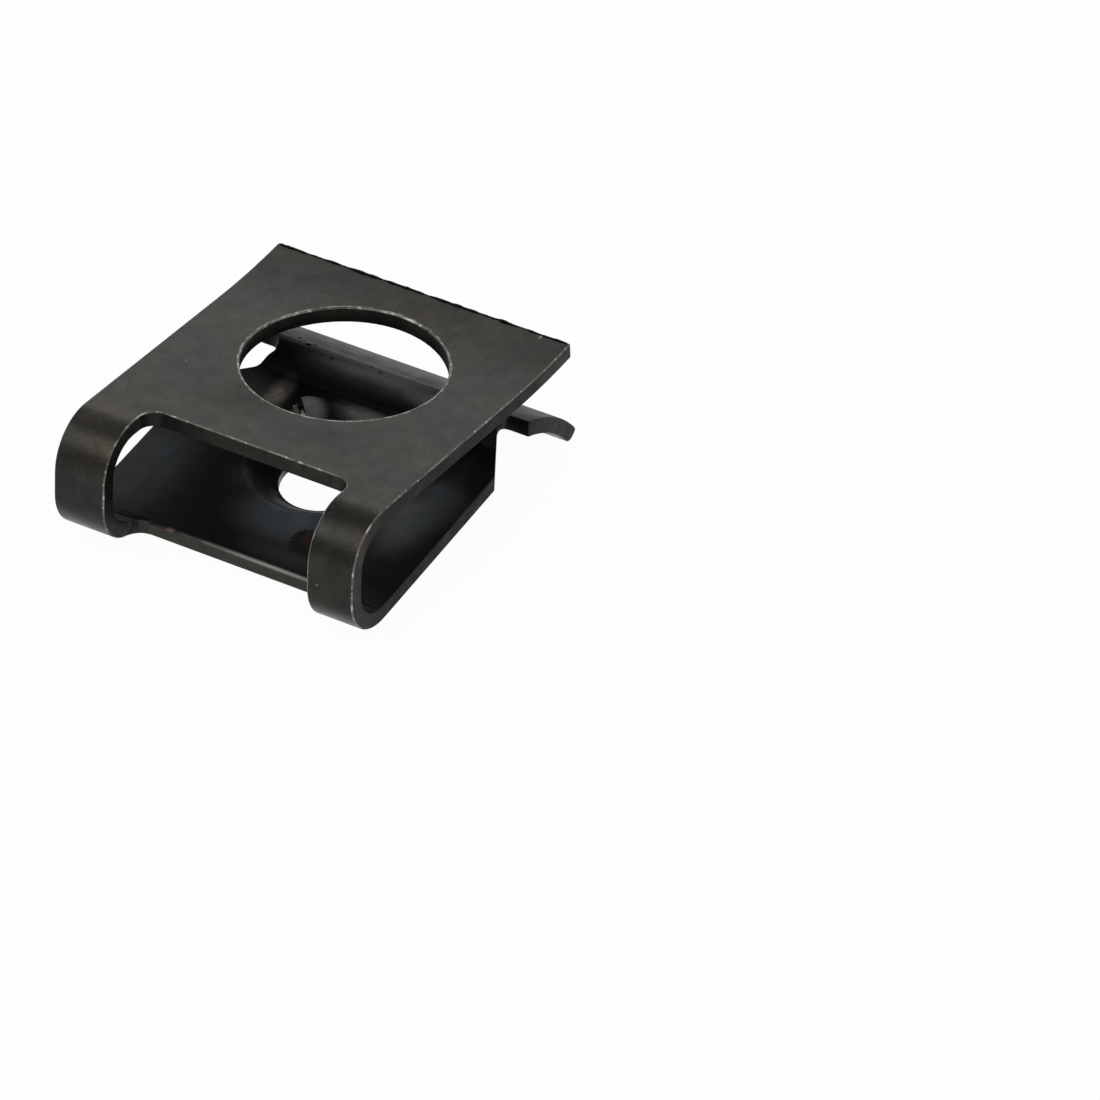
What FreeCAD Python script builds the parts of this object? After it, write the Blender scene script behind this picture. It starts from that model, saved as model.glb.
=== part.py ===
import FreeCAD, Part
import math
import os

# U clip speed nut: one strip of spring steel, punched, folded into a U and given a nut impression.
# Units are millimetres.
# The section is drawn in a working frame: x along the clip (bend at -x, mouth at +x),
# y across it and z up, with z = 0 on the upper face of the flat top leg and
# x = 0 on the axis of the clearance hole. At the end the clip is laid down as it rests on a table.

# Sheet
clip_width = 16.0
sheet_thickness = 0.8

# Top leg
free_end_from_hole = 6.95
bend_back_from_hole = 12.0
clearance_hole_dia = 9.7
upturn_start = 1.8
upturn_radius = 38.0

# Fold
outer_bend_radius = 2.45
fold_height = 6.07

# Lower leg
lower_leg_angle = 10.2
ramp_start = 1.8
ramp_angle = 64.0
ramp_foot_radius = 0.4
crest_radius = 1.15
crest_height = -2.1
lip_start_angle = 15.0
lip_end_angle = 48.0
lip_radius = 9.0

# Window between the two straps of the fold
strap_width = 2.55
window_side_shift = -0.15
window_edge_top = -8.25
window_edge_low = -9.3
window_corner_radius = 0.8

# Side notches between the lower leg and the ears of the lip
notch_end = 3.4
notch_neck = 0.1
left_notch_start = 0.2
left_notch_depth = 2.65
left_corner_radius = 0.8
right_notch_start = 0.42
right_notch_depth = 1.4
right_corner_radius = 0.4

# Nut impression
screw_dia = 5.0
screw_pitch = 0.8
nut_centre = -2.1
nut_side_shift = -0.35
thread_overlap = 0.5
nut_hole_dia = screw_dia - thread_overlap
impression_dia = 7.9
rim_depth_low = 1.58
rim_thinning = 0.45
bore_stock = 0.1
crease_share = 0.3
land_share = 0.15
sector_count = 48
section_steps = 8

# Split across the rim, with a rounded shoulder on its high side
split_angle = 51.0
split_width = 0.35
split_overrun = 0.25
split_joint_inset = 1.5
shoulder_height = 0.85
shoulder_spread = 40.0

half_width = clip_width / 2.0
mid_bend_radius = outer_bend_radius - sheet_thickness / 2.0


def vector(x, z, y=0.0):
    return FreeCAD.Vector(x, y, z)


def heading(degrees):
    angle = math.radians(degrees)
    return vector(math.cos(angle), math.sin(angle))


def left_of(direction):
    return vector(-direction.z, direction.x)


class Walk:
    """Follows the middle of the sheet and keeps the edges on both of its faces."""

    def __init__(self, start, degrees):
        self.point = start
        self.degrees = degrees
        self.left = []
        self.right = []

    def side_point(self, side):
        return self.point + left_of(heading(self.degrees)) * (side * sheet_thickness / 2.0)

    def straight(self, length):
        before = (self.side_point(1), self.side_point(-1))
        self.point = self.point + heading(self.degrees) * length
        after = (self.side_point(1), self.side_point(-1))
        self.left.append(Part.LineSegment(before[0], after[0]).toShape())
        self.right.append(Part.LineSegment(before[1], after[1]).toShape())

    def bend(self, mid_radius, turn):
        side = 1.0 if turn > 0 else -1.0
        centre = self.point + left_of(heading(self.degrees)) * (side * mid_radius)
        stations = []
        for share in (0.0, 0.5, 1.0):
            angle = self.degrees + turn * share
            outward = left_of(heading(angle)) * (-side)
            middle = centre + outward * mid_radius
            shift = left_of(heading(angle)) * (sheet_thickness / 2.0)
            stations.append((middle + shift, middle - shift, middle))
        self.left.append(Part.Arc(stations[0][0], stations[1][0], stations[2][0]).toShape())
        self.right.append(Part.Arc(stations[0][1], stations[1][1], stations[2][1]).toShape())
        self.point = stations[2][2]
        self.degrees = self.degrees + turn

    def closed_face(self, start_left, start_right):
        end_cap = Part.LineSegment(self.side_point(1), self.side_point(-1)).toShape()
        start_cap = Part.LineSegment(start_left, start_right).toShape()
        ordered = Part.__sortEdges__(self.left + self.right + [start_cap, end_cap])
        return Part.Face(Part.Wire(ordered))


def arc_reach(mid_radius, degrees):
    """Run and rise of an arc that starts level and turns by the given angle."""
    angle = math.radians(degrees)
    return mid_radius * math.sin(angle), mid_radius * (1.0 - math.cos(angle))


def upturn():
    """Mid-line point and angle of the top leg's free end, and the turn of its gentle lift."""
    mid_radius = upturn_radius + sheet_thickness / 2.0
    turn = math.degrees(math.asin((free_end_from_hole - upturn_start) / upturn_radius))
    run, rise = arc_reach(mid_radius, turn)
    return vector(upturn_start + run, rise - sheet_thickness / 2.0), turn, mid_radius


def leg_foot():
    """Mid-line point where the lower leg leaves the fold."""
    slope = math.radians(lower_leg_angle)
    centre_x = -bend_back_from_hole + outer_bend_radius
    centre_z = -fold_height + outer_bend_radius
    return vector(centre_x + mid_bend_radius * math.sin(slope), centre_z - mid_bend_radius * math.cos(slope))


def leg_point(x):
    """Point on the upper face of the lower leg's straight part."""
    slope = math.radians(lower_leg_angle)
    foot = leg_foot() + left_of(heading(lower_leg_angle)) * (sheet_thickness / 2.0)
    return vector(x, foot.z + (x - foot.x) * math.tan(slope))


def ramp_length():
    """Straight part of the ramp that brings the crest to its height."""
    leg = math.radians(lower_leg_angle)
    ramp = math.radians(ramp_angle)
    foot_rise = ramp_foot_radius * (math.cos(leg) - math.cos(ramp))
    crest_rise = crest_radius * (1.0 - math.cos(ramp))
    rise = crest_height - leg_point(ramp_start).z - foot_rise - crest_rise
    return rise / math.sin(ramp)


def sheet_section():
    """Closed side outline of the folded sheet."""
    start, turn, upturn_mid = upturn()
    walk = Walk(start, 180.0 + turn)
    start_left = walk.side_point(1)
    start_right = walk.side_point(-1)
    walk.bend(upturn_mid, -turn)
    fold_start = -bend_back_from_hole + outer_bend_radius
    walk.straight(upturn_start - fold_start)
    walk.bend(mid_bend_radius, 90.0)
    walk.straight(fold_height - 2.0 * outer_bend_radius)
    walk.bend(mid_bend_radius, 90.0 + lower_leg_angle)
    leg_end = leg_point(ramp_start)
    walk.straight((leg_end - leg_foot()).dot(heading(lower_leg_angle)))
    walk.bend(ramp_foot_radius + sheet_thickness / 2.0, ramp_angle - lower_leg_angle)
    walk.straight(ramp_length())
    walk.bend(crest_radius - sheet_thickness / 2.0, -(ramp_angle + lip_start_angle))
    walk.bend(lip_radius - sheet_thickness / 2.0, -(lip_end_angle - lip_start_angle))
    return walk.closed_face(start_left, start_right), walk


def folded_sheet():
    face, walk = sheet_section()
    face.translate(FreeCAD.Vector(0, -half_width, 0))
    return face.extrude(FreeCAD.Vector(0, clip_width, 0)), walk


def rounded_window(edge, base, height):
    """Upright cutter that reaches from far behind the fold up to the given edge."""
    half_opening = half_width - strap_width
    far = -bend_back_from_hole - outer_bend_radius
    start = FreeCAD.Vector(far, window_side_shift - half_opening, base)
    block = Part.makeBox(edge - far, 2.0 * half_opening, height, start)
    corners = []
    for side in block.Edges:
        upright = side.BoundBox.ZLength > height / 2.0
        if upright and side.BoundBox.XMin > (edge + far) / 2.0:
            corners.append(side)
    return block.makeFillet(window_corner_radius, corners)


def cut_window(sheet):
    """The window is punched square to the sheet before folding, so each end is cut square to its leg."""
    fold_middle = -fold_height / 2.0
    upper = rounded_window(window_edge_top, fold_middle, fold_height)
    lower = rounded_window(window_edge_low, -2.0 * fold_height, 2.0 * fold_height)
    lower.rotate(vector(window_edge_low, -fold_height), FreeCAD.Vector(0, 1, 0), -lower_leg_angle)
    below = Part.makeBox(30, 30, fold_height, FreeCAD.Vector(-20, -15, fold_middle - fold_height))
    return sheet.cut(upper).cut(lower.common(below))


def notch_cutter(side, start_x, depth, radius):
    """Plan of one side notch: a long slope in, a short neck, a round corner and a square way out."""
    outside = half_width + 1.0
    neck = half_width - depth
    slope_end_x = notch_end - radius - notch_neck
    slope_run = (slope_end_x - start_x) / depth
    corner_x = notch_end - radius + radius * math.sin(math.radians(45))
    corner_y = neck + radius * (1.0 - math.cos(math.radians(45)))
    outside_start = FreeCAD.Vector(slope_end_x - slope_run * (outside - neck), side * outside, 0)
    slope_end = FreeCAD.Vector(slope_end_x, side * neck, 0)
    corner_start = FreeCAD.Vector(notch_end - radius, side * neck, 0)
    corner_middle = FreeCAD.Vector(corner_x, side * corner_y, 0)
    corner_end = FreeCAD.Vector(notch_end, side * (neck + radius), 0)
    outside_end = FreeCAD.Vector(notch_end, side * outside, 0)
    edges = [
        Part.LineSegment(outside_start, slope_end).toShape(),
        Part.LineSegment(slope_end, corner_start).toShape(),
        Part.Arc(corner_start, corner_middle, corner_end).toShape(),
        Part.LineSegment(corner_end, outside_end).toShape(),
        Part.LineSegment(outside_end, outside_start).toShape(),
    ]
    face = Part.Face(Part.Wire(edges))
    face.translate(FreeCAD.Vector(0, 0, -fold_height))
    return face.extrude(FreeCAD.Vector(0, 0, fold_height - sheet_thickness * 1.5))


def cut_notches(sheet):
    """The two notches are not alike: the left one is deeper and steeper."""
    left = notch_cutter(1.0, left_notch_start, left_notch_depth, left_corner_radius)
    right = notch_cutter(-1.0, right_notch_start, right_notch_depth, right_corner_radius)
    return sheet.cut(left).cut(right)


def cut_clearance_hole(sheet):
    radius = clearance_hole_dia / 2.0
    drill = Part.makeCylinder(radius, 3.0, FreeCAD.Vector(0, 0, -1.5), FreeCAD.Vector(0, 0, 1))
    return sheet.cut(drill)


def sector_station(number):
    """Share of the turn and angle of one radial section of the impression."""
    inset = math.radians(split_joint_inset)
    share = number / float(sector_count)
    angle = math.radians(split_angle) + inset + (2.0 * math.pi - 2.0 * inset) * share
    return share, angle


def rim_depth(turn_share):
    """Depth of the rim below the leg: it climbs by one screw pitch in one turn."""
    return rim_depth_low - screw_pitch * turn_share


def flank_share(share):
    """Share of the rim depth reached on the way in: a round crease, a steep flank and a level land."""
    land_start = 1.0 - land_share
    crease_loss = crease_share / 2.0
    full = 1.0 - crease_loss - land_share / 2.0
    if share < crease_share:
        return share * share / (2.0 * crease_share) / full
    if share < land_start:
        return (share - crease_loss) / full
    over = share - land_start
    return (share - crease_loss - over * over / (2.0 * land_share)) / full


def shoulder_lift(turn_share, share):
    """Height of the rounded shoulder beside the high end of the rim."""
    away = 360.0 * (1.0 - turn_share)
    if away > shoulder_spread:
        return 0.0
    fade = math.cos(math.radians(90.0 * away / shoulder_spread)) ** 2
    return shoulder_height * fade * math.sin(math.pi * share ** 0.4) ** 2


def impression_points(turn_share, angle):
    """Points of one radial section on the upper and the lower face, in the frame of the nut axis."""
    outer = impression_dia / 2.0
    inner = nut_hole_dia / 2.0 - bore_stock
    upper = []
    lower = []
    for step in range(section_steps + 1):
        share = step / float(section_steps)
        radius = outer + (inner - outer) * share
        height = shoulder_lift(turn_share, share) - rim_depth(turn_share) * flank_share(share)
        thickness = sheet_thickness * (1.0 - rim_thinning * share)
        across = FreeCAD.Vector(radius * math.cos(angle), radius * math.sin(angle), 0)
        upper.append(across + FreeCAD.Vector(0, 0, height))
        lower.append(across + FreeCAD.Vector(0, 0, height - thickness))
    return upper, lower


def impression_section(turn_share, angle):
    """Closed outline of one radial section."""
    upper, lower = impression_points(turn_share, angle)
    return Part.makePolygon(upper + lower[::-1] + upper[:1])


def impression_ring():
    """Coned ring whose rim follows one turn of a screw thread."""
    sections = []
    for number in range(sector_count + 1):
        share, angle = sector_station(number)
        sections.append(impression_section(share, angle))
    return Part.makeLoft(sections, True, True)


def impression_opening():
    """Prism with the same corners as the ring, for the place the ring takes in the leg."""
    outer = impression_dia / 2.0
    corners = []
    for number in range(sector_count + 1):
        angle = sector_station(number)[1]
        corners.append(FreeCAD.Vector(outer * math.cos(angle), outer * math.sin(angle), -2.0 * sheet_thickness))
    corners.append(corners[0])
    return Part.Face(Part.makePolygon(corners)).extrude(FreeCAD.Vector(0, 0, 3.0 * sheet_thickness))


def split_cutter():
    """Radial split that lets the two ends of the rim stand one pitch apart."""
    length = impression_dia / 2.0 + split_overrun
    slot = Part.makeBox(length, split_width, 5.0, FreeCAD.Vector(0, -split_width / 2.0, -3.0))
    slot.rotate(FreeCAD.Vector(0, 0, 0), FreeCAD.Vector(0, 0, 1), split_angle)
    return slot


def nut_bore():
    """Cylinder that takes the stock off the rim and leaves a true round wall."""
    reach = rim_depth_low + 2.0 * sheet_thickness
    start = FreeCAD.Vector(0, 0, -reach)
    return Part.makeCylinder(nut_hole_dia / 2.0, reach + shoulder_height, start, FreeCAD.Vector(0, 0, 1))


def nut_place():
    """Where the nut axis meets the upper face of the lower leg, and how it leans."""
    foot = leg_point(nut_centre) + FreeCAD.Vector(0, nut_side_shift, 0)
    return FreeCAD.Placement(foot, FreeCAD.Rotation(FreeCAD.Vector(0, 1, 0), -lower_leg_angle))


def onto_leg(shape):
    """Moves a shape from the frame of the nut axis onto the lower leg."""
    shape.Placement = nut_place().multiply(shape.Placement)
    return shape


def form_nut(sheet):
    opened = sheet.cut(onto_leg(impression_opening()))
    joined = opened.fuse(onto_leg(impression_ring()))
    bored = joined.cut(onto_leg(nut_bore()))
    return bored.cut(onto_leg(split_cutter())).removeSplitter()


def lip_corner(walk):
    """Lower corner of the lip's free edge."""
    return min((walk.side_point(1), walk.side_point(-1)), key=lambda point: point.z)


def rest_angle(corner):
    """Steepest line from the lip's edge back to the fold or to the nut's rim: the table under it."""
    fold_centre = vector(-bend_back_from_hole + outer_bend_radius, -fold_height + outer_bend_radius)
    reach = corner - fold_centre
    distance = math.hypot(reach.x, reach.z)
    angles = [math.atan2(reach.z, reach.x) + math.asin(outer_bend_radius / distance)]
    for number in range(sector_count + 1):
        share, angle = sector_station(number)
        for point in impression_points(share, angle)[1]:
            low = nut_place().multVec(point)
            angles.append(math.atan2(corner.z - low.z, corner.x - low.x))
    return max(angles)


def lay_down(solid, walk):
    """Turns the clip to its resting tilt and puts the origin under the middle of it."""
    corner = lip_corner(walk)
    solid.rotate(corner, FreeCAD.Vector(0, 1, 0), math.degrees(rest_angle(corner)))
    box = solid.BoundBox
    solid.translate(FreeCAD.Vector(-(box.XMin + box.XMax) / 2.0, 0, -corner.z))
    return solid


def clip_body():
    sheet, walk = folded_sheet()
    sheet = cut_window(sheet)
    sheet = cut_notches(sheet)
    sheet = cut_clearance_hole(sheet)
    sheet = form_nut(sheet)
    if sheet.ShapeType == "Compound" and len(sheet.Solids) == 1:
        sheet = sheet.Solids[0]
    return lay_down(sheet, walk)


os.makedirs("parts", exist_ok=True)
body = clip_body()
body.exportStep("parts/clip_body.step")
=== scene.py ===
import math

import bmesh
import bpy
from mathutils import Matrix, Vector


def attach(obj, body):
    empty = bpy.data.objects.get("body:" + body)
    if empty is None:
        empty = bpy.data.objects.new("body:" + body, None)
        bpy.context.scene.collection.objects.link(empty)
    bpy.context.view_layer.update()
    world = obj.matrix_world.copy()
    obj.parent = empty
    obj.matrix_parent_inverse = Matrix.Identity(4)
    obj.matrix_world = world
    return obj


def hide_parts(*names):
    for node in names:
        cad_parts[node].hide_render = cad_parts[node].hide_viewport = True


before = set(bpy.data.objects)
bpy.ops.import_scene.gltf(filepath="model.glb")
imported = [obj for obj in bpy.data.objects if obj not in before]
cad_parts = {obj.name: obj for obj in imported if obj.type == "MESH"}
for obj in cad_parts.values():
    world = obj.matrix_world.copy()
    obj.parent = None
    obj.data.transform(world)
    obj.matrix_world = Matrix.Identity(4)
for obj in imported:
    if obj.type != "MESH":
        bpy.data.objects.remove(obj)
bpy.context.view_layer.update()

MM = 0.001

# How the clip lies on the table: the tilt of its top leg, and the lower corner of the lip that it
# turns about, in the working frame whose origin is in the middle of the clearance hole.
REST_TILT = math.radians(3.730257)
LIP_CORNER = (7.325849, -5.345647)
SHIFT_ALONG = 1.948882

# Sizes and places in the working frame, in millimetres.
SHEET = 0.8
HALF_WIDTH = 8.0
HOLE_RADIUS = 4.85
RIM_RUB = 0.16
FOLD_RADIUS = 2.45
FOLD_X = -9.55
FOLD_UP_Z = -2.45
FOLD_LOW_Z = -3.62
WINDOW_TOP_X = -8.25
WINDOW_LOW_X = -9.3
WINDOW_SIDES = (-5.6, 5.3)
NUT_CENTRE = (-2.1, -0.35)
NUT_REACH = 4.1
EAR_X = 3.4
FREE_END_X = 6.7
UPPER_FACE_Z = -0.2
BETWEEN_LEGS_Z = -1.2
LOWER_LEG_Z = -2.0

# Millimetres: the rounding under the end of the lip, and the widest of the other broken edges.
LIP_ROUNDING = 0.36
WIDEST_BREAK = 0.45

# The broken edges, as shares of the widest one.
WORN_BREAK = 0.43
TORN_BREAK = 0.15
RIM_BREAK = 0.18
RIGHT_SIDE_BREAK = 0.1
NUT_BREAK = 0.09
OTHER_BREAK = 0.14


def deselect_all():
    bpy.ops.object.select_all(action="DESELECT")


def make_active(piece):
    deselect_all()
    piece.select_set(True)
    bpy.context.view_layer.objects.active = piece


def to_working_frame(place):
    """Millimetres in the frame of the hole, for a point in metres of the clip as it lies."""
    along = place.x / MM - SHIFT_ALONG - LIP_CORNER[0]
    up = place.z / MM
    x = LIP_CORNER[0] + along * math.cos(REST_TILT) - up * math.sin(REST_TILT)
    z = LIP_CORNER[1] + along * math.sin(REST_TILT) + up * math.cos(REST_TILT)
    return Vector((x, place.y / MM, z))


def to_table(x, y, z):
    """The way back: a point of the clip as it lies, in metres."""
    along = x - LIP_CORNER[0]
    up = z - LIP_CORNER[1]
    table_x = LIP_CORNER[0] + along * math.cos(REST_TILT) + up * math.sin(REST_TILT) + SHIFT_ALONG
    table_z = up * math.cos(REST_TILT) - along * math.sin(REST_TILT)
    return Vector((table_x * MM, y * MM, table_z * MM))


# Materials

class Shader:
    """A material with short names for the nodes that it needs."""

    def __init__(self, name):
        self.material = bpy.data.materials.new(name)
        self.material.use_nodes = True
        self.nodes = self.material.node_tree.nodes
        self.links = self.material.node_tree.links
        self.skin = self.nodes["Principled BSDF"]
        place = self.nodes.new("ShaderNodeTexCoord")
        turn = self.nodes.new("ShaderNodeMapping")
        turn.inputs["Rotation"].default_value = (0.0, -REST_TILT, 0.0)
        reach = SHIFT_ALONG + LIP_CORNER[0]
        back_x = LIP_CORNER[0] - reach * math.cos(REST_TILT)
        back_z = LIP_CORNER[1] - reach * math.sin(REST_TILT)
        turn.inputs["Location"].default_value = (back_x * MM, 0.0, back_z * MM)
        self.links.new(place.outputs["Object"], turn.inputs["Vector"])
        self.place = turn.outputs["Vector"]

    def noise(self, scale, detail=2.0, roughness=0.5, stretch=None):
        node = self.nodes.new("ShaderNodeTexNoise")
        node.inputs["Scale"].default_value = scale
        node.inputs["Detail"].default_value = detail
        node.inputs["Roughness"].default_value = roughness
        vector = self.place
        if stretch:
            longer = self.nodes.new("ShaderNodeVectorMath")
            longer.operation = "MULTIPLY"
            longer.inputs[1].default_value = stretch
            self.links.new(self.place, longer.inputs[0])
            vector = longer.outputs["Vector"]
        self.links.new(vector, node.inputs["Vector"])
        return node.outputs["Fac"]

    def spread(self, value, low, high, to_low=0.0, to_high=1.0, smooth=False):
        """Stretches the range from low to high onto the one from to_low to to_high."""
        node = self.nodes.new("ShaderNodeMapRange")
        node.interpolation_type = "SMOOTHSTEP" if smooth else "LINEAR"
        node.inputs["From Min"].default_value = low
        node.inputs["From Max"].default_value = high
        node.inputs["To Min"].default_value = to_low
        node.inputs["To Max"].default_value = to_high
        self.links.new(value, node.inputs["Value"])
        return node.outputs["Result"]

    def blend(self, share, first, second, how="MIX"):
        node = self.nodes.new("ShaderNodeMix")
        node.data_type = "RGBA"
        node.blend_type = how
        if isinstance(share, float):
            node.inputs["Factor"].default_value = share
        else:
            self.links.new(share, node.inputs["Factor"])
        for value, socket in ((first, node.inputs["A"]), (second, node.inputs["B"])):
            if isinstance(value, tuple):
                socket.default_value = value + (1.0,)
            else:
                self.links.new(value, socket)
        return node.outputs["Result"]

    def combine(self, first, second, how="MULTIPLY"):
        node = self.nodes.new("ShaderNodeMath")
        node.operation = how
        for value, socket in ((first, node.inputs[0]), (second, node.inputs[1])):
            if isinstance(value, float):
                socket.default_value = value
            else:
                self.links.new(value, socket)
        return node.outputs["Value"]

    def spot(self, middle, size, ragged=0.0, core=0.0):
        """1 in the core of a patch and 0 outside it, with size as its half length each way."""
        node = self.nodes.new("ShaderNodeVectorMath")
        node.operation = "SUBTRACT"
        node.inputs[1].default_value = tuple(value * MM for value in middle)
        self.links.new(self.place, node.inputs[0])
        squeeze = self.nodes.new("ShaderNodeVectorMath")
        squeeze.operation = "DIVIDE"
        squeeze.inputs[1].default_value = tuple(value * MM for value in size)
        self.links.new(node.outputs["Vector"], squeeze.inputs[0])
        length = self.nodes.new("ShaderNodeVectorMath")
        length.operation = "LENGTH"
        self.links.new(squeeze.outputs["Vector"], length.inputs[0])
        distance = length.outputs["Value"]
        if not ragged:
            return self.spread(distance, core, 1.0, 1.0, 0.0, True)
        frayed = self.combine(distance, self.noise(4500.0, 4.0, 0.7), "ADD")
        return self.spread(frayed, 1.0, 1.0 + ragged, 1.0, 0.0, True)

    def dimmed(self, colour, kept):
        return self.blend(1.0, colour, (kept, kept, kept), "MULTIPLY")

    def bump(self, height, depth):
        node = self.nodes.new("ShaderNodeBump")
        node.inputs["Strength"].default_value = 1.0
        node.inputs["Distance"].default_value = depth
        self.links.new(height, node.inputs["Height"])
        self.links.new(node.outputs["Normal"], self.skin.inputs["Normal"])

    def along(self, axis):
        node = self.nodes.new("ShaderNodeSeparateXYZ")
        self.links.new(self.place, node.inputs["Vector"])
        return node.outputs[axis]


WARM_OXIDE = (0.043, 0.039, 0.032)
COOL_OXIDE = (0.034, 0.0345, 0.033)
# Painted shade, for the inner faces away from the lip.
INNER_PAINTED_SHADE = (0.009, 0.009, 0.009)
BARE_STEEL = (0.50, 0.49, 0.46)

# Painted light and shade on the inner faces, soft lighter and darker places: middle, half size, even
# core and colour.
INNER_PAINTED_LIGHT_AND_SHADE = (
    ((3.25, 0.6, -2.1), (0.85, 6.5, 1.6), 0.2, (0.120, 0.120, 0.118)),
    ((5.0, -3.0, -2.7), (1.5, 9.0, 1.8), 0.3, (0.064, 0.064, 0.067)),
    ((3.6, 6.4, -2.2), (1.3, 1.6, 1.3), 0.3, (0.010, 0.010, 0.010)),
    ((-6.4, 6.9, -4.7), (4.6, 3.2, 3.0), 0.3, (0.030, 0.033, 0.037)),
    ((-6.5, -0.7, -4.8), (2.2, 3.6, 1.6), 0.2, (0.062, 0.070, 0.078)),
    ((-4.8, 2.3, -4.5), (1.5, 1.5, 1.2), 0.0, (0.030, 0.031, 0.032)),
    ((-8.6, -2.2, -5.1), (0.9, 4.0, 1.2), 0.0, (0.038, 0.038, 0.037)),
    ((-4.1, -6.0, -4.3), (3.2, 1.9, 2.0), 0.2, (0.070, 0.079, 0.066)),
    ((-2.2, -6.9, -4.0), (2.6, 1.6, 2.0), 0.1, (0.058, 0.064, 0.063)),
    ((1.0, -7.2, -3.4), (2.4, 1.4, 1.6), 0.0, (0.048, 0.048, 0.045)),
    ((-9.5, -7.2, -5.2), (1.5, 1.8, 1.3), 0.0, (0.030, 0.030, 0.028)),
    ((0.15, 1.95, -3.3), (1.0, 1.15, 1.1), 0.3, (0.150, 0.150, 0.146)),
    ((2.9, -3.4, -2.2), (1.0, 2.4, 1.0), 0.0, (0.080, 0.080, 0.074)),
    ((1.3, -0.4, -3.3), (0.9, 2.2, 1.0), 0.2, (0.066, 0.066, 0.063)),
    ((2.05, -1.5, -3.2), (0.42, 6.5, 0.5), 0.3, (0.005, 0.005, 0.005)),
    ((-1.6, -6.2, -3.9), (0.9, 0.8, 0.8), 0.0, (0.046, 0.055, 0.066)),
    ((-3.6, -6.6, -4.2), (0.8, 0.7, 0.8), 0.0, (0.052, 0.075, 0.066)),
    ((1.5, -9.0, -3.5), (3.48, 2.86, 3.0), 0.9, (0.022, 0.022, 0.020)),
)

# Pits in the face of the lip: middle, half size and tone.
LIP_PITS = (
    ((3.79, 4.76, -2.20), (0.15, 0.13, 0.3), 0.006),
    ((3.41, 4.05, -2.11), (0.17, 0.22, 0.3), 0.008),
    ((3.64, 3.83, -2.16), (0.13, 0.16, 0.3), 0.020),
    ((3.00, 2.51, -2.13), (0.14, 0.16, 0.3), 0.040),
    ((3.40, 0.56, -2.11), (0.12, 0.13, 0.3), 0.045),
    ((3.20, -0.06, -2.10), (0.12, 0.15, 0.3), 0.035),
)

# Smudges and darker places on the upper face, with painted shade low on the right strap and a painted
# highlight at the top of the left strap: middle, half size and how much light they keep.
SMUDGES_AND_PAINTED_STRAP_LIGHT = (
    ((-4.9, 2.1, 0.0), (2.2, 3.2, 1.0), 0.52),
    ((-5.8, -2.6, 0.0), (1.7, 3.0, 1.0), 0.74),
    ((6.2, -1.5, 0.2), (1.6, 5.0, 1.0), 0.84),
    ((4.9, -6.6, 0.2), (2.4, 1.6, 1.0), 0.86),
    ((-11.8, -7.0, -4.6), (1.2, 3.4, 1.5), 0.62),
    ((-10.4, 6.9, -0.15), (0.6, 3.4, 0.5), 1.35),
)

# The same on the cut sides: the right side and the foot of the window darkened, painted shade in both
# notches, and painted light on the far side of the bore.
CUT_SIDE_PAINTED_LIGHT_AND_SHADE = (
    ((-3.0, -8.0, -2.5), (9.5, 1.6, 9.0), 0.22),
    ((-9.4, 0.0, -5.7), (0.8, 9.0, 1.2), 0.45),
    ((3.4, -7.2, -2.6), (0.6, 0.8, 1.0), 0.75),
    ((3.0, 5.7, -2.5), (1.2, 1.4, 1.3), 0.25),
    ((4.3, -2.0, -0.4), (1.3, 2.6, 0.9), 1.7),
)

# Pale nicks on the upper face, and bright spots of bare steel on the rubbed corners, partly nicks and
# partly painted glints.
TOP_NICKS = (
    ((6.70, -6.52, 0.32), (0.24, 0.09, 0.3)),
    ((-4.78, -1.05, 0.0), (0.10, 0.16, 0.3)),
)
EDGE_NICKS_AND_PAINTED_GLINTS = (
    ((-10.75, -8.0, -0.34), (0.34, 0.4, 0.34)),
    ((-2.79, 4.00, 0.0), (0.26, 0.26, 0.3)),
    ((-9.0, 5.3, -0.05), (0.5, 0.5, 0.3)),
    ((4.86, -0.6, 0.0), (0.4, 0.5, 0.3)),
)


def oxide_colour(shader):
    """Black oxide, warmer and cooler in blotches, with cloud and grain."""
    blotches = shader.spread(shader.noise(260.0, 3.0), 0.38, 0.62)
    colour = shader.blend(blotches, COOL_OXIDE, WARM_OXIDE)
    cloud = shader.spread(shader.noise(900.0, 5.0, 0.6), 0.3, 0.7, 0.76, 1.16)
    grain = shader.spread(shader.noise(6500.0, 3.0, 0.6), 0.25, 0.75, 0.80, 1.16)
    return shader.blend(1.0, shader.blend(1.0, colour, cloud, "MULTIPLY"), grain, "MULTIPLY")


def oxide_finish(shader, smooth, rough, depth=0.000004):
    """Uneven gloss and a fine tooth, depth in metres."""
    cloud = shader.noise(1400.0, 4.0, 0.6)
    shader.links.new(shader.spread(cloud, 0.3, 0.7, smooth, rough), shader.skin.inputs["Roughness"])
    shader.bump(shader.noise(9000.0, 4.0, 0.65), depth)


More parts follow.
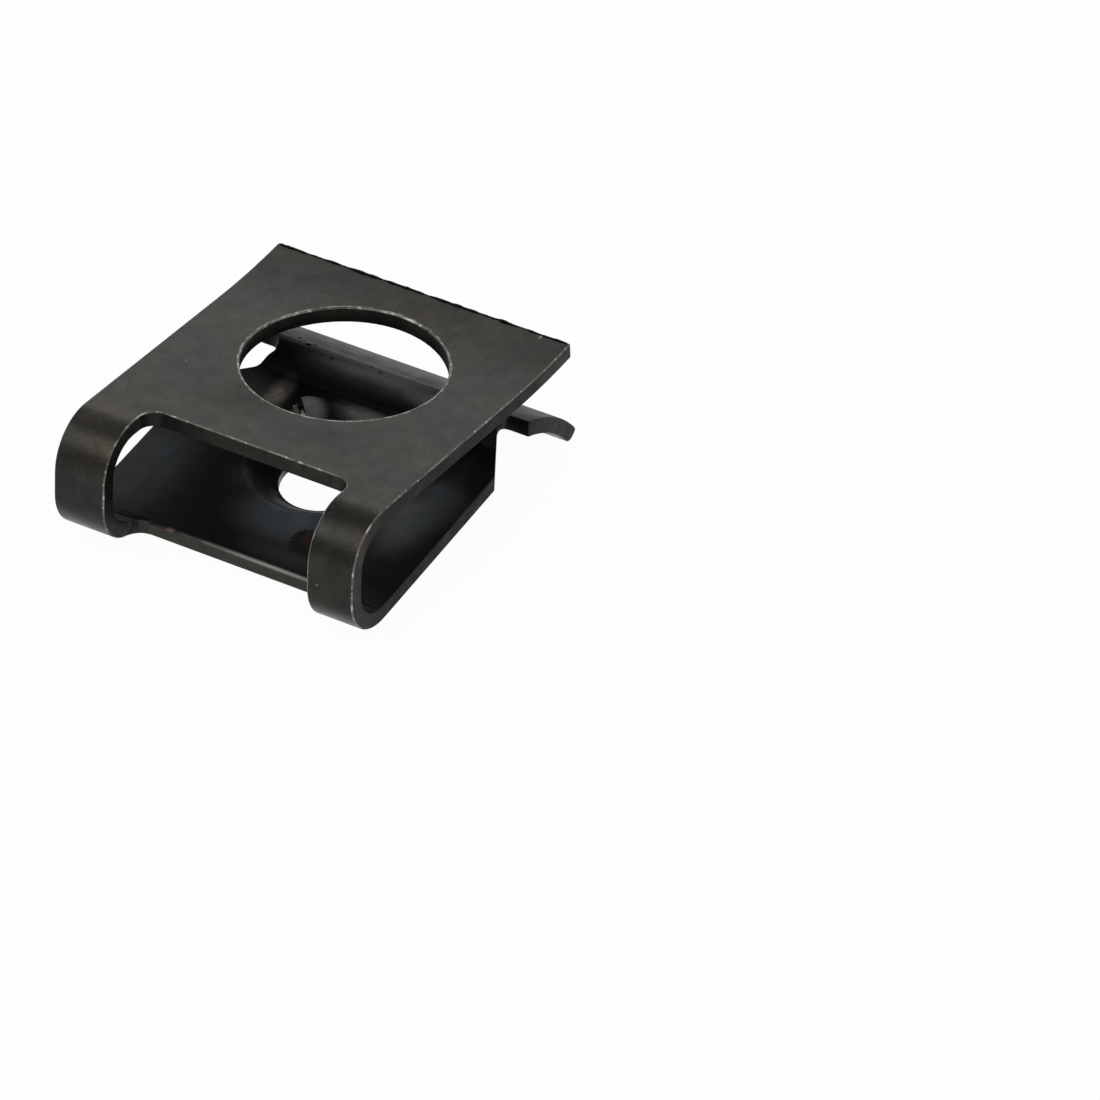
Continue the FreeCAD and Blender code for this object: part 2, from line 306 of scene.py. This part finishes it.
def black_oxide_steel():
    """The faces of the sheet, blackened and a little blotchy."""
    shader = Shader("black_oxide_steel")
    shader.skin.inputs["Metallic"].default_value = 1.0
    colour = oxide_colour(shader)
    specks = shader.spread(shader.noise(3200.0, 2.0, 0.5), 0.735, 0.79)
    colour = shader.blend(specks, colour, (0.16, 0.15, 0.13))
    # Smudges, and painted shade and a painted highlight on the straps.
    for middle, size, kept in SMUDGES_AND_PAINTED_STRAP_LIGHT:
        colour = shader.blend(shader.spot(middle, size), colour, shader.dimmed(colour, kept))
    for middle, size in TOP_NICKS:
        colour = shader.blend(shader.spot(middle, size, 0.3), colour, (0.20, 0.19, 0.17))
    rim_reach = HOLE_RADIUS + RIM_RUB
    rim = shader.spot((0.0, 0.0, 0.0), (rim_reach, rim_reach, rim_reach), 0.0, 0.985)
    stretches = shader.spread(shader.noise(2400.0, 4.0, 0.6), 0.46, 0.60, 0.04, 0.55)
    colour = shader.blend(shader.combine(rim, stretches), colour, BARE_STEEL)
    shader.links.new(colour, shader.skin.inputs["Base Color"])
    oxide_finish(shader, 0.26, 0.38)
    return shader.material


def inner_oxide_painted_light_and_shade():
    """The inner faces, nearly black with painted shade up to the lip, with painted light and shade in
    patches, a painted highlight, dirt, rust and pits.
    """
    shader = Shader("inner_oxide_painted_light_and_shade")
    shader.skin.inputs["Metallic"].default_value = 1.0
    # Painted shade: the inner faces stay nearly black and turn to the oxide colour towards the lip.
    lit = shader.spread(shader.along("X"), 0.0021, 0.0031, 0.0, 1.0, True)
    colour = shader.blend(lit, INNER_PAINTED_SHADE, shader.dimmed(oxide_colour(shader), 0.90))
    # Painted light and shade in soft patches.
    for middle, size, core, tone in INNER_PAINTED_LIGHT_AND_SHADE:
        colour = shader.blend(shader.spot(middle, size, 0.0, core), colour, tone)
    # Painted highlight on the lower leg beside the nut, with a painted glow around it.
    painted_highlight_halo = shader.spot((0.35, 4.70, -3.6), (2.4, 1.9, 1.6))
    colour = shader.blend(painted_highlight_halo, colour, (0.075, 0.070, 0.062))
    painted_highlight = shader.spot((0.72, 4.05, -3.45), (1.7, 0.80, 1.2))
    painted_highlight = shader.combine(painted_highlight, shader.spread(shader.noise(1300.0, 3.0, 0.6), 0.38, 0.62, 0.35, 0.95))
    colour = shader.blend(painted_highlight, colour, (0.450, 0.415, 0.365))
    teal = shader.spread(shader.spot((-5.0, 6.4, -4.5), (0.7, 0.35, 0.5)), 0.0, 1.0, 0.0, 0.6)
    colour = shader.blend(teal, colour, (0.012, 0.050, 0.052))
    grime = shader.spot((-7.25, -2.55, -4.86), (1.5, 1.15, 1.2), 0.12)
    colour = shader.blend(grime, colour, (0.010, 0.009, 0.008))
    rust = shader.spot((-7.0, -2.6, -4.86), (0.62, 0.45, 0.5), 0.3)
    colour = shader.blend(rust, colour, (0.026, 0.012, 0.010))
    sheen = (1.0, 1.0, 1.0)
    for middle, size, tone in LIP_PITS:
        pit = shader.spot(middle, size, 0.0, 0.3)
        colour = shader.blend(pit, colour, (tone, tone, tone))
        dulled = min(1.0, 0.1 + tone * 15.0)
        sheen = shader.blend(pit, sheen, (dulled, dulled, dulled))
    shader.links.new(sheen, shader.skin.inputs["Specular Tint"])
    shader.links.new(colour, shader.skin.inputs["Base Color"])
    oxide_finish(shader, 0.46, 0.60, 0.0000015)
    return shader.material


def sheared_steel():
    """The cut sides of the sheet, with the fine upright marks of the punch."""
    shader = Shader("sheared_steel")
    shader.skin.inputs["Metallic"].default_value = 1.0
    marks = shader.spread(shader.noise(3500.0, 3.0, 0.6, (1.0, 1.0, 0.12)), 0.3, 0.7, 0.72, 0.92)
    colour = shader.blend(1.0, oxide_colour(shader), marks, "MULTIPLY")
    # Painted shade and painted light on the cut sides.
    for middle, size, kept in CUT_SIDE_PAINTED_LIGHT_AND_SHADE:
        colour = shader.blend(shader.spot(middle, size, 0.0, 0.6), colour, shader.dimmed(colour, kept))
    shader.skin.inputs["Specular Tint"].default_value = (0.86, 0.86, 0.86, 1.0)
    shader.links.new(colour, shader.skin.inputs["Base Color"])
    oxide_finish(shader, 0.4, 0.55, 0.000008)
    return shader.material


def rubbed_edge_steel_and_painted_glints():
    """Corners that stand proud, rubbed bare in short stretches, with nicks, painted glints and a
    painted highlight on the front of the hole's rim.
    """
    shader = Shader("rubbed_edge_steel_and_painted_glints")
    shader.skin.inputs["Metallic"].default_value = 1.0
    thin = shader.spread(shader.noise(700.0, 3.0, 0.6), 0.34, 0.64, 0.10, 0.42)
    bright = shader.spread(shader.noise(3000.0, 4.0, 0.65), 0.55, 0.64, 0.0, 0.9)
    rubbing_and_painted_highlights = shader.combine(thin, bright, "ADD")
    # Bright spots, partly nicks and partly painted glints.
    for middle, size in EDGE_NICKS_AND_PAINTED_GLINTS:
        rubbing_and_painted_highlights = shader.combine(rubbing_and_painted_highlights, shader.spot(middle, size), "ADD")
    # Painted highlight on the front of the hole's rim.
    front_rim_painted_highlight = shader.spread(shader.spot((-3.6, -1.0, 0.0), (3.4, 6.5, 0.6)), 0.0, 1.0, 0.0, 0.4)
    rubbing_and_painted_highlights = shader.combine(rubbing_and_painted_highlights, front_rim_painted_highlight, "ADD")
    colour = shader.blend(rubbing_and_painted_highlights, oxide_colour(shader), BARE_STEEL)
    shader.links.new(colour, shader.skin.inputs["Base Color"])
    shader.skin.inputs["Roughness"].default_value = 0.4
    return shader.material


def worn_corner_steel_painted_highlight():
    """A corner worn round and smooth, a little lighter than the faces beside it, with a painted
    highlight along the window's lower edge.
    """
    shader = Shader("worn_corner_steel_painted_highlight")
    shader.skin.inputs["Metallic"].default_value = 1.0
    cloud = shader.spread(shader.noise(1100.0, 3.0, 0.6), 0.3, 0.7, 0.5, 1.5)
    colour = shader.blend(1.0, (0.055, 0.054, 0.051), cloud, "MULTIPLY")
    # Painted highlight along the window's lower edge.
    painted_edge_highlight = shader.spot((-9.35, -2.2, -5.3), (1.0, 4.6, 1.0))
    colour = shader.blend(painted_edge_highlight, colour, (0.20, 0.198, 0.19))
    pink = shader.spot((-9.4, 3.35, -5.3), (0.4, 0.32, 0.4), 0.2)
    colour = shader.blend(pink, colour, (0.15, 0.095, 0.085))
    shader.links.new(colour, shader.skin.inputs["Base Color"])
    shader.skin.inputs["Roughness"].default_value = 0.4
    return shader.material


def burr_steel():
    """The torn edge of the free end, dull and dark."""
    shader = Shader("burr_steel")
    shader.skin.inputs["Metallic"].default_value = 1.0
    grain = shader.spread(shader.noise(5000.0, 3.0, 0.6), 0.3, 0.7, 0.4, 1.2)
    colour = shader.blend(1.0, (0.010, 0.009, 0.008), grain, "MULTIPLY")
    shader.links.new(colour, shader.skin.inputs["Base Color"])
    shader.skin.inputs["Roughness"].default_value = 0.55
    return shader.material


def table_top():
    """White table: it looks white and still takes the shadow of the clip."""
    material = bpy.data.materials.new("table_top")
    material.use_nodes = True
    nodes = material.node_tree.nodes
    links = material.node_tree.links
    paper = nodes["Principled BSDF"]
    paper.inputs["Base Color"].default_value = (0.9, 0.9, 0.9, 1.0)
    paper.inputs["Roughness"].default_value = 0.9
    paper.inputs["Specular IOR Level"].default_value = 0.0
    white = nodes.new("ShaderNodeEmission")
    white.inputs["Color"].default_value = (1.0, 1.0, 1.0, 1.0)
    white.inputs["Strength"].default_value = 1.0
    path = nodes.new("ShaderNodeLightPath")
    seen = nodes.new("ShaderNodeMath")
    seen.operation = "MAXIMUM"
    shares = (("Is Camera Ray", 0.965), ("Is Glossy Ray", 0.75))
    for socket, (kind, amount) in zip(seen.inputs, shares):
        share = nodes.new("ShaderNodeMath")
        share.operation = "MULTIPLY"
        share.inputs[1].default_value = amount
        links.new(path.outputs[kind], share.inputs[0])
        links.new(share.outputs["Value"], socket)
    mix = nodes.new("ShaderNodeMixShader")
    links.new(seen.outputs["Value"], mix.inputs["Fac"])
    links.new(paper.outputs["BSDF"], mix.inputs[1])
    links.new(white.outputs["Emission"], mix.inputs[2])
    links.new(mix.outputs["Shader"], nodes["Material Output"].inputs["Surface"])
    return material


# The clip

OUTER, INNER, CUT, RUBBED, WORN = range(5)


def near_nut(place, margin):
    return math.dist((place.x, place.y), NUT_CENTRE) < NUT_REACH + margin and place.z < LOWER_LEG_Z


def on_lower_window_edge(place):
    """True along the upper corner of the window's lower edge, which is worn round and shines softly."""
    low, high = WINDOW_SIDES
    in_window = low - 0.1 < place.y < high + 0.1
    return in_window and place.x < WINDOW_LOW_X + 0.35 and -5.55 < place.z < -5.1


def weigh_lip_edges(clip):
    """Marks the two long edges at the end of the lip, which are rounder than all others."""
    mesh = bmesh.new()
    mesh.from_mesh(clip.data)
    layer = mesh.edges.layers.float.new("bevel_weight_edge")
    for edge in mesh.edges:
        middle = to_working_frame((edge.verts[0].co + edge.verts[1].co) / 2.0)
        across = abs((edge.verts[0].co - edge.verts[1].co).y) > 4.0 * MM
        sharp = len(edge.link_faces) == 2 and edge.calc_face_angle(0.0) > math.radians(60)
        edge[layer] = 0.0
        if across and sharp and middle.x > 7.0 and middle.z < -4.9:
            edge[layer] = 1.0
        elif across and sharp and middle.x > 7.6 and middle.z < -4.5:
            edge[layer] = 0.5
    mesh.to_mesh(clip.data)
    mesh.free()


def weigh_edges(clip):
    """Marks the sharp edges that get broken, each kind with its own share of the widest break."""
    mesh = bmesh.new()
    mesh.from_mesh(clip.data)
    layer = mesh.edges.layers.float["bevel_weight_edge"]
    for edge in mesh.edges:
        edge[layer] = 0.0
        if len(edge.link_faces) != 2:
            continue
        if edge.calc_face_angle(0.0) < math.radians(38):
            continue
        middle = to_working_frame((edge.verts[0].co + edge.verts[1].co) / 2.0)
        from_axis = math.hypot(middle.x, middle.y)
        on_rim = abs(from_axis - HOLE_RADIUS) < 0.15 and middle.z > UPPER_FACE_Z
        torn = middle.x > FREE_END_X and middle.z > UPPER_FACE_Z
        across = abs((edge.verts[0].co - edge.verts[1].co).y) > 4.0 * MM
        right_side = middle.y < -HALF_WIDTH + 0.05 and middle.x > FOLD_X and middle.z > -0.3
        if across and on_lower_window_edge(middle):
            edge[layer] = WORN_BREAK
        elif torn:
            edge[layer] = TORN_BREAK
        elif on_rim:
            edge[layer] = RIM_BREAK
        elif right_side:
            edge[layer] = RIGHT_SIDE_BREAK
        elif near_nut(middle, 0.05):
            edge[layer] = NUT_BREAK
        else:
            edge[layer] = OTHER_BREAK
    mesh.to_mesh(clip.data)
    mesh.free()


def fold_distance(place):
    """Distance from the middle of the fold's bend, which tells its inner side from its outer one."""
    if place.z > FOLD_UP_Z:
        return math.hypot(place.x - FOLD_X, place.z - FOLD_UP_Z)
    if place.z < FOLD_LOW_Z:
        return math.hypot(place.x - FOLD_X, place.z - FOLD_LOW_Z)
    return abs(place.x - FOLD_X)


def finish_of(place, normal):
    """Which finish a face of the sheet gets, from where it is and where it looks."""
    if abs(normal.y) > 0.85 and not near_nut(place, 0.0):
        return CUT
    if place.x < FOLD_X:
        inside = fold_distance(place) < FOLD_RADIUS - SHEET / 2.0
        return INNER if inside else OUTER
    if EAR_X - 0.2 < place.x < EAR_X + 0.2 and normal.x < -0.85:
        return CUT
    if place.z > BETWEEN_LEGS_Z:
        if abs(normal.z) < 0.5:
            return CUT
        return OUTER if normal.z > 0 else INNER
    if normal.z > 0.05:
        return INNER
    return OUTER


def rubbed(place):
    """True for the corners that the photo shows rubbed bright."""
    if place.z > -0.35 and abs(math.hypot(place.x, place.y) - HOLE_RADIUS) < 0.3:
        return True
    outside = fold_distance(place) > FOLD_RADIUS - 0.3
    low, high = WINDOW_SIDES
    in_window = low - 0.15 < place.y < high + 0.15
    if place.z > -0.35 and place.x < WINDOW_TOP_X + 0.4 and place.x > FOLD_X and in_window:
        return True
    if place.x < FOLD_X + 0.3 and outside and place.z > -5.2 and abs(place.y) < HALF_WIDTH - 0.3:
        return True
    if place.y < -HALF_WIDTH + 0.2 and place.z > -0.3 + max(0.0, place.x - 3.0) * 0.05:
        return True
    if place.y < -HALF_WIDTH + 0.2 and place.x < FOLD_X + 0.3 and outside and place.z > -5.4:
        return True
    return False


def dressed_clip():
    """A copy of the CAD clip with rounded and broken edges and a finish on every face."""
    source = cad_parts["clip_body"]
    clip = source.copy()
    clip.data = source.data.copy()
    clip.name = "clip_sheet"
    bpy.context.collection.objects.link(clip)
    clip.data.materials.clear()
    clip.data.materials.append(black_oxide_steel())
    clip.data.materials.append(inner_oxide_painted_light_and_shade())
    clip.data.materials.append(sheared_steel())
    clip.data.materials.append(rubbed_edge_steel_and_painted_glints())
    clip.data.materials.append(worn_corner_steel_painted_highlight())
    make_active(clip)
    bpy.ops.object.mode_set(mode="EDIT")
    bpy.ops.mesh.select_all(action="SELECT")
    bpy.ops.mesh.remove_doubles(threshold=0.0005 * MM)
    bpy.ops.mesh.dissolve_limited(angle_limit=math.radians(0.4))
    bpy.ops.object.mode_set(mode="OBJECT")
    for face in clip.data.polygons:
        face.material_index = finish_of(to_working_frame(face.center), face.normal)
    weigh_lip_edges(clip)
    rounding = clip.modifiers.new("lip_end", "BEVEL")
    rounding.width = LIP_ROUNDING * MM
    rounding.segments = 4
    rounding.limit_method = "WEIGHT"
    rounding.use_clamp_overlap = False
    bpy.ops.object.modifier_apply(modifier=rounding.name)
    weigh_edges(clip)
    bevel = clip.modifiers.new("edge_break", "BEVEL")
    bevel.width = WIDEST_BREAK * MM
    bevel.segments = 3
    bevel.limit_method = "WEIGHT"
    bevel.material = RUBBED
    bevel.use_clamp_overlap = False
    bpy.ops.object.modifier_apply(modifier=bevel.name)
    for face in clip.data.polygons:
        if face.material_index != RUBBED:
            continue
        place = to_working_frame(face.center)
        if on_lower_window_edge(place):
            face.material_index = WORN
        elif not rubbed(place):
            face.material_index = finish_of(place, face.normal)
    bpy.ops.object.shade_smooth_by_angle(angle=math.radians(35))
    weights = clip.modifiers.new("flat_faces_stay_flat", "WEIGHTED_NORMAL")
    weights.keep_sharp = True
    weights.weight = 50
    bpy.ops.object.modifier_apply(modifier=weights.name)
    return clip


def torn_edge():
    """The burr that the shears left along the upper corner of the free end."""
    steps = 150
    side = 7.86
    first = to_table(6.868, -side, 0.322)
    deselect_all()
    bpy.ops.mesh.primitive_plane_add(size=1.0, location=first, rotation=(math.radians(90), 0.0, 0.0))
    burr = bpy.context.active_object
    burr.name = "free_end_burr"
    bpy.ops.object.transform_apply(location=False, rotation=True, scale=False)
    bpy.ops.object.mode_set(mode="EDIT")
    bpy.ops.mesh.select_all(action="SELECT")
    bpy.ops.transform.resize(value=(0.135 * MM, 1.0, 0.15 * MM), center_override=first)
    for step in range(steps):
        shift = (0.0, 2.0 * side * MM / steps, 0.0)
        bpy.ops.mesh.extrude_region_move(TRANSFORM_OT_translate={"value": shift})
    bpy.ops.mesh.select_all(action="SELECT")
    bpy.ops.mesh.normals_make_consistent(inside=False)
    bpy.ops.object.mode_set(mode="OBJECT")
    ragged = bpy.data.textures.new("ragged", "CLOUDS")
    ragged.noise_scale = 0.0006
    ragged.noise_depth = 3
    tear = burr.modifiers.new("tear", "DISPLACE")
    tear.texture = ragged
    tear.texture_coords = "LOCAL"
    tear.mid_level = 0.75
    tear.strength = 0.13 * MM
    bpy.ops.object.modifier_apply(modifier=tear.name)
    bpy.ops.object.transform_apply(location=True, rotation=True, scale=True)
    burr.data.materials.append(burr_steel())
    return burr


clip_sheet = dressed_clip()
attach(clip_sheet, "root")
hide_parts("clip_body")

free_end_burr = torn_edge()
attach(free_end_burr, "root")


# Table, light and camera

def lay_table():
    deselect_all()
    bpy.ops.mesh.primitive_plane_add(size=1.6, location=(0.0, 0.0, 0.0))
    table = bpy.context.active_object
    table.name = "table"
    table.data.materials.append(table_top())
    return table


def hang_softbox(name, direction, distance, width, height, brightness):
    """A soft lamp that shines at the clip; brightness is what its face looks like."""
    lamp_data = bpy.data.lights.new(name, "AREA")
    lamp_data.shape = "RECTANGLE"
    lamp_data.size = width
    lamp_data.size_y = height
    lamp_data.energy = brightness * math.pi * width * height
    lamp = bpy.data.objects.new(name, lamp_data)
    bpy.context.collection.objects.link(lamp)
    way = Vector(direction).normalized()
    lamp.location = way * distance
    lamp.rotation_euler = (-way).to_track_quat("-Z", "Y").to_euler()
    return lamp


def set_camera():
    camera_data = bpy.data.cameras.new("camera")
    camera_data.lens = 239.9333
    camera_data.sensor_width = 36.0
    camera_data.clip_start = 0.01
    camera_data.clip_end = 10.0
    camera = bpy.data.objects.new("camera", camera_data)
    bpy.context.collection.objects.link(camera)
    camera.location = (-0.23137343, -0.14790263, 0.20033445)
    turns = (53.42346916, -0.50412426, -59.2779193)
    camera.rotation_euler = tuple(math.radians(turn) for turn in turns)
    bpy.context.scene.camera = camera
    return camera


def set_world():
    world = bpy.data.worlds.new("studio")
    bpy.context.scene.world = world
    world.use_nodes = True
    background = world.node_tree.nodes["Background"]
    background.inputs["Color"].default_value = (1.0, 1.0, 1.0, 1.0)
    background.inputs["Strength"].default_value = 0.5


bpy.context.scene.view_settings.view_transform = "Standard"
lay_table()
set_world()
hang_softbox("softbox_behind", (0.80, 0.42, 0.46), 0.6, 0.7, 0.36, 0.92)
hang_softbox("softbox_left", (-0.52, 0.44, 0.73), 0.6, 0.5, 0.32, 1.55)
hang_softbox("softbox_right", (0.1, -0.95, 0.35), 0.6, 0.5, 0.3, 0.6)
set_camera()
